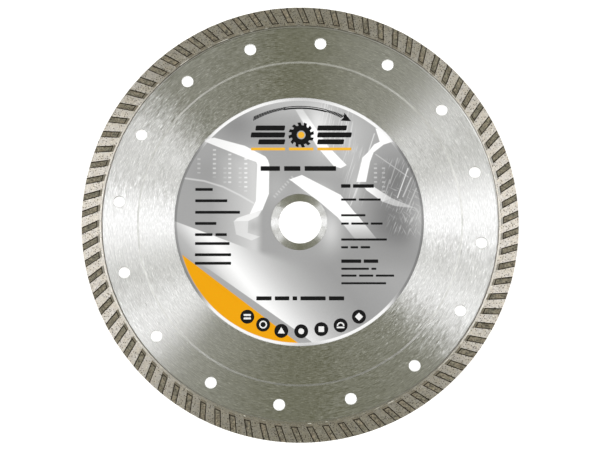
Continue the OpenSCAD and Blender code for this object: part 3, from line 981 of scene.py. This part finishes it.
class InkSheet:
    """Printed shapes as thin closed plates, let into the film by a hair and standing proud by a hair."""

    def __init__(self, z0, z1):
        self.v, self.f, self.z = [], [], (z0, z1)

    def shape(self, pts):
        pts = np.asarray(pts, float)
        area = 0.5 * np.sum(pts[:, 0] * np.roll(pts[:, 1], -1) - np.roll(pts[:, 0], -1) * pts[:, 1])
        if area < 0:
            pts = pts[::-1]
        n, k = len(pts), sum(len(a) for a in self.v)
        lo = np.concatenate([pts, np.full((n, 1), self.z[0])], 1)
        hi = np.concatenate([pts, np.full((n, 1), self.z[1])], 1)
        self.v += [lo, hi]
        self.f.append([k + n + i for i in range(n)])
        self.f.append([k + i for i in reversed(range(n))])
        for i in range(n):
            j = (i + 1) % n
            self.f.append([k + i, k + j, k + n + j, k + n + i])

    def bar(self, x0, y, w, h, r=None, skew=0.0):
        """A bar with rounded corners, its middle at height y."""
        r = min(h, w) * 0.32 if r is None else r
        pts = []
        for cx, cy, a0 in ((x0 + w - r, y + h / 2 - r, 0), (x0 + r, y + h / 2 - r, 90), (x0 + r, y - h / 2 + r, 180), (x0 + w - r, y - h / 2 + r, 270)):
            for k in range(5):
                a = math.radians(a0 + 22.5 * k)
                px, py = cx + r * math.cos(a), cy + r * math.sin(a)
                pts.append((px + (py - y) * skew, py))
        self.shape(pts)

    def disc(self, x, y, r, n=48):
        self.shape([(x + r * math.cos(2 * math.pi * k / n), y + r * math.sin(2 * math.pi * k / n)) for k in range(n)])

    def ring(self, x, y, r0, r1, a0=0.0, a1=360.0, n=64):
        """A ring or an arc, as one closed shape per piece of arc."""
        full = abs(a1 - a0) >= 359.9
        parts = 2 if full else 1
        for p in range(parts):
            b0 = a0 + (a1 - a0) * p / parts
            b1 = a0 + (a1 - a0) * (p + 1) / parts
            m = max(6, n // parts)
            t = np.radians(np.linspace(b0, b1, m))
            out = [(x + r1 * math.cos(a), y + r1 * math.sin(a)) for a in t]
            inn = [(x + r0 * math.cos(a), y + r0 * math.sin(a)) for a in t[::-1]]
            self.shape(out + inn)

    def build(self, name, mat):
        return finish_mesh(name, np.concatenate(self.v), self.f, [mat])


def label():
    zt = FILM_TOP
    glue_p = sheet_piece("label_glue", 65.3, FILM_C, 15.15, FILM_HOLE_C, GLUE[0][2], GLUE[1][2], M_GLUE, 0.01)
    film_p = sheet_piece("label_sheet", FILM_R, FILM_C, FILM_HOLE_R, FILM_HOLE_C, FILM[0][2], zt, M_FILM, 0.02)
    dark = InkSheet(zt - 0.01, zt + 0.010)
    pale = InkSheet(zt - 0.005, zt + 0.018)
    gold = InkSheet(zt - 0.01, zt + 0.009)

    # turning-direction arrow along the top: dashes that grow into a solid arc and a head
    cx, cy, R = 0.0, 8.6, 52.6
    def arc_shape(a0, a1, w0, w1, n=28):
        t = np.linspace(a0, a1, n)
        w = np.linspace(w0, w1, n)
        out = [(cx + (R + b / 2) * math.sin(math.radians(a)), cy + (R + b / 2) * math.cos(math.radians(a))) for a, b in zip(t, w)]
        inn = [(cx + (R - b / 2) * math.sin(math.radians(a)), cy + (R - b / 2) * math.cos(math.radians(a))) for a, b in zip(t, w)]
        dark.shape(out + inn[::-1])
    def at(a, r):
        return (cx + r * math.sin(math.radians(a)), cy + r * math.cos(math.radians(a)))

    def hatch(a0, a1, w0, w1, n, lean=0.75, fill=0.80):
        """Slanted strokes side by side along the arrow's arc."""
        p = (a1 - a0) / n
        for k in range(n):
            a, w = a0 + (k + 0.5) * p, w0 + (w1 - w0) * (k + 0.5) / n
            h, t = w / 2, p * fill / 2
            dark.shape([at(a - t - lean, R - h), at(a + t - lean, R - h), at(a + t + lean, R + h), at(a - t + lean, R + h)])
    hatch(-28.0, -8.6, 1.9, 1.3, 19)
    R += 0.48
    arc_shape(-9.2, 15.6, 0.42, 0.42, 30)
    R -= 0.96
    arc_shape(-9.6, 15.2, 0.80, 0.80, 30)
    R += 0.48
    hatch(15.2, 25.6, 1.3, 1.9, 10)
    tip_a, base_a = 31.0, 25.6
    dark.shape([at(tip_a, R), at(base_a - 0.3, R + 2.35), at(base_a + 0.5, R), at(base_a - 0.3, R - 2.35)])

    # emblem: a plain toothed disc between two stacks of bars, over a thin rule
    ex, ey = 0.6, 46.4
    dark.ring(ex, ey, 2.3, 5.2)
    for k in range(12):
        a = math.radians(30 * k + 6)
        c, sn = math.cos(a), math.sin(a)
        pts = []
        for u, v in ((5.1, -0.85), (6.7, -0.85 + 0.5), (6.7, 0.85 + 0.5), (5.1, 0.85)):
            pts.append((ex + u * c - v * sn, ey + u * sn + v * c))
        dark.shape(pts)
    gold.disc(ex, ey, 1.7)
    for sgn in (-1, 1):
        for k, w in enumerate((15.5, 18.0, 14.0)):
            y = ey + 3.7 - 3.7 * k
            x0 = ex - 8.6 - w if sgn < 0 else ex + 8.6
            dark.bar(x0, y, w, 2.7, 0.5, skew=0.18)
    gold.bar(ex - 26.5, 38.9, 18.0, 1.5, 0.3)
    gold.bar(ex - 6.5, 38.9, 13.0, 1.5, 0.3)
    gold.bar(ex + 8.5, 38.9, 18.0, 1.5, 0.3)

    # plain bars where the real label has its lines of text, one bar to a word
    def bars(x, y, widths, h, gap):
        for w in widths:
            dark.bar(x, y, w, h, 0.3)
            x += w + gap
    bars(-20.8, 28.5, (10.2, 8.6, 16.6), 2.5, 2.2)
    for y, ws in ((17.4, (9.2,)), (11.4, (16.9,)), (5.3, (23.6,)), (-0.6, (11.2,)), (-6.5, (9.2, 6.0)), (-11.2, (18.2,)),
                  (-17.1, (19.0,)), (-21.6, (19.0,))):
        bars(-55.2, y, ws, 1.5, 1.5)
    for y, ws, h in ((19.2, (5.0, 11.0), 1.9), (12.0, (8.0, 11.6), 1.15), (3.7, (12.8,), 1.15),
                     (-0.7, (4.0, 9.0, 6.2), 1.15), (-9.1, (24.0,), 1.15), (-13.2, (3.6, 4.0, 5.0), 1.15),
                     (-20.5, (10.5, 7.6), 1.8), (-24.5, (14.5, 2.6), 1.1), (-28.1, (8.0, 7.5, 9.6), 1.1), (-32.1, (23.5,), 1.1)):
        bars(21.6, y, ws, h, 1.3)
    bars(-22.9, -40.0, (8.0, 7.6, 2.4, 13.2, 8.0), 2.1, 1.7)

    # seven discs with plain geometric marks
    spots = [(-27.6, -49.6), (-19.3, -53.7), (-9.8, -57.0), (0.6, -57.2), (11.1, -56.1), (21.2, -54.1), (30.8, -49.6)]
    for k, (x, y) in enumerate(spots):
        dark.disc(x, y, 3.65)
        if k == 0:
            pale.bar(x - 1.9, y + 0.9, 3.8, 1.0, 0.3)
            pale.bar(x - 1.9, y - 0.9, 3.8, 1.0, 0.3)
        elif k == 1:
            pale.ring(x, y, 1.35, 2.05)
        elif k == 2:
            pale.shape([(x, y + 2.0), (x - 1.9, y - 1.3), (x + 1.9, y - 1.3)])
        elif k == 3:
            pale.disc(x, y, 1.5)
        elif k == 4:
            pale.bar(x - 1.45, y, 2.9, 2.9, 0.3)
        elif k == 5:
            pale.ring(x, y - 0.3, 1.3, 2.0, 0, 180)
            pale.bar(x - 2.0, y - 1.1, 4.0, 0.8, 0.25)
        else:
            pale.shape([(x, y + 2.1), (x - 2.1, y), (x, y - 2.1), (x + 2.1, y)])
    return glue_p, film_p, dark.build("label_ink_dark", M_BLACK), pale.build("label_ink_pale", M_LIGHT), gold.build("label_ink_gold", M_ORANGE)


core = core_disc()
foot = foot_band()
rim = turbo_rim()
crystals = grit()
glue_p, film_p, ink_dark, ink_pale, ink_gold = label()

for piece, slot in ((core, "ground_steel"), (foot, "foot_metal"), (rim, "sintered_matrix"), (crystals, "diamond"), (glue_p, "adhesive"),
                    (film_p, "label_print"), (ink_dark, "label_print"), (ink_pale, "label_print"), (ink_gold, "label_print")):
    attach(piece, BODY)
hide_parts("steel_core")
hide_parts("foot_ring")
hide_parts("diamond_rim")
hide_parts("diamond_grit")
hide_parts("label_adhesive")
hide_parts("label_film")

# ---------------------------------------------------------------- floor
def floor():
    m = Mat("studio_floor")
    n = m.noise(m.pos, scale=0.01, detail=2.0)
    m.set(color=m.tint((0.93, 0.93, 0.93), 1.0 + (n - 0.5) * 0.02), rough=0.9, spec=0.1)
    m.bsdf.inputs["Emission Color"].default_value = (1, 1, 1, 1)
    m.bsdf.inputs["Emission Strength"].default_value = 0.45
    # clear from below, so the blade's back can be looked at through it
    geo = m.nt.nodes.new("ShaderNodeNewGeometry")
    clear = m.nt.nodes.new("ShaderNodeBsdfTransparent")
    mix = m.nt.nodes.new("ShaderNodeMixShader")
    out = next(n for n in m.nt.nodes if n.type == "OUTPUT_MATERIAL")
    m.nt.links.new(geo.outputs["Backfacing"], mix.inputs[0])
    m.nt.links.new(m.bsdf.outputs[0], mix.inputs[1])
    m.nt.links.new(clear.outputs[0], mix.inputs[2])
    m.nt.links.new(mix.outputs[0], out.inputs["Surface"])
    me = bpy.data.meshes.new("studio_floor")
    S = 6.0
    z = -RIM_Z * 0.001
    me.from_pydata([(-S, -S, z), (S, -S, z), (S, S, z), (-S, S, z)], [], [(0, 1, 2, 3)])
    me.materials.append(m.m)
    ob = bpy.data.objects.new("studio_floor", me)
    bpy.context.scene.collection.objects.link(ob)


floor()

# ---------------------------------------------------------------- light
# A soft studio: two broad bright banks, left and right, in a dimmer warm-grey room.
OLIVE = (0.153, 0.152, 0.066)
BANK_TINT = (1.0, 1.0, 1.055)
BANK_STEP = 7.5
BANK = [0.000, 0.050, 0.112, 0.154, 0.053, 0.123, 0.303, 0.000, 0.171, 1.042, 1.395, 0.980,
        0.427, 0.340, 1.289, 1.564, 0.625, 0.000, 0.000, 0.000, 0.000, 0.000, 0.000, 0.000,
        0.000, 0.000, 0.000, 0.000, 0.043, 0.186, 0.000, 0.409, 1.460, 1.610, 0.872, 0.209,
        0.355, 1.054, 1.349, 0.526, 0.249, 0.408, 0.092, 0.000, 0.205, 0.063, 0.128, 0.000]
BANK_GAIN = 3.4


def studio():
    w = bpy.data.worlds.new("studio")
    bpy.context.scene.world = w
    w.use_nodes = True
    nt = w.node_tree
    bg = next(n for n in nt.nodes if n.type == "BACKGROUND")
    tc = nt.nodes.new("ShaderNodeTexCoord")
    sep = nt.nodes.new("ShaderNodeSeparateXYZ")
    nt.links.new(tc.outputs["Generated"], sep.inputs[0])
    x, y, z = (F(nt, s) for s in sep.outputs)
    az = x.atan2(y) * (180.0 / math.pi)                # clockwise from +Y, -180..180
    az = az + (1.0 - az.step(-0.001, 0.001)) * 360.0
    pts = [(i * BANK_STEP, v) for i, v in enumerate(BANK)] + [(360.0, BANK[0])]
    half = len(BANK) // 2
    far = az.step(179.99, 180.01)
    bank = az.curve(pts[:half + 1]) * (1.0 - far) + az.curve(pts[half:]) * far
    rise = z.step(0.10, 0.30) * (1.0 - z.step(0.90, 0.985))
    light = bank * rise * BANK_GAIN
    col = nt.nodes.new("ShaderNodeCombineColor")
    for i in range(3):
        nt.links.new((light * BANK_TINT[i] + OLIVE[i]).s, col.inputs[i])
    nt.links.new(col.outputs[0], bg.inputs["Color"])
    bg.inputs["Strength"].default_value = 1.0
    # the room behind the blade is seen as a plain pale backdrop
    plain = nt.nodes.new("ShaderNodeBackground")
    plain.inputs["Color"].default_value = (0.93, 0.93, 0.93, 1)
    lp = nt.nodes.new("ShaderNodeLightPath")
    mix = nt.nodes.new("ShaderNodeMixShader")
    out = next(n for n in nt.nodes if n.type == "OUTPUT_WORLD")
    nt.links.new(lp.outputs["Is Camera Ray"], mix.inputs[0])
    nt.links.new(bg.outputs[0], mix.inputs[1])
    nt.links.new(plain.outputs[0], mix.inputs[2])
    nt.links.new(mix.outputs[0], out.inputs["Surface"])


studio()
sc = bpy.context.scene
sc.view_settings.view_transform = "Standard"
sc.view_settings.look = "None"

# ---------------------------------------------------------------- camera
cam_data = bpy.data.cameras.new("camera")
cam_data.sensor_fit = "HORIZONTAL"
cam_data.sensor_width = 36.0
cam_data.lens = 1525.83 * 36.0 / 600.0
cam_data.clip_start = 0.01
cam = bpy.data.objects.new("camera", cam_data)
sc.collection.objects.link(cam)
C = Vector((0.002958, -0.07613, 0.800))
L = Vector((-0.000032, -0.001329, 0.0))
fwd = (L - C).normalized()
right = fwd.cross(Vector((0, 1, 0))).normalized()
up = right.cross(fwd).normalized()
rot = np.array([right, up, -fwd]).T
from mathutils import Matrix
mw = Matrix.Identity(4)
for i in range(3):
    for j in range(3):
        mw[i][j] = rot[i][j]
    mw[i][3] = C[i]
cam.matrix_world = mw
sc.camera = cam
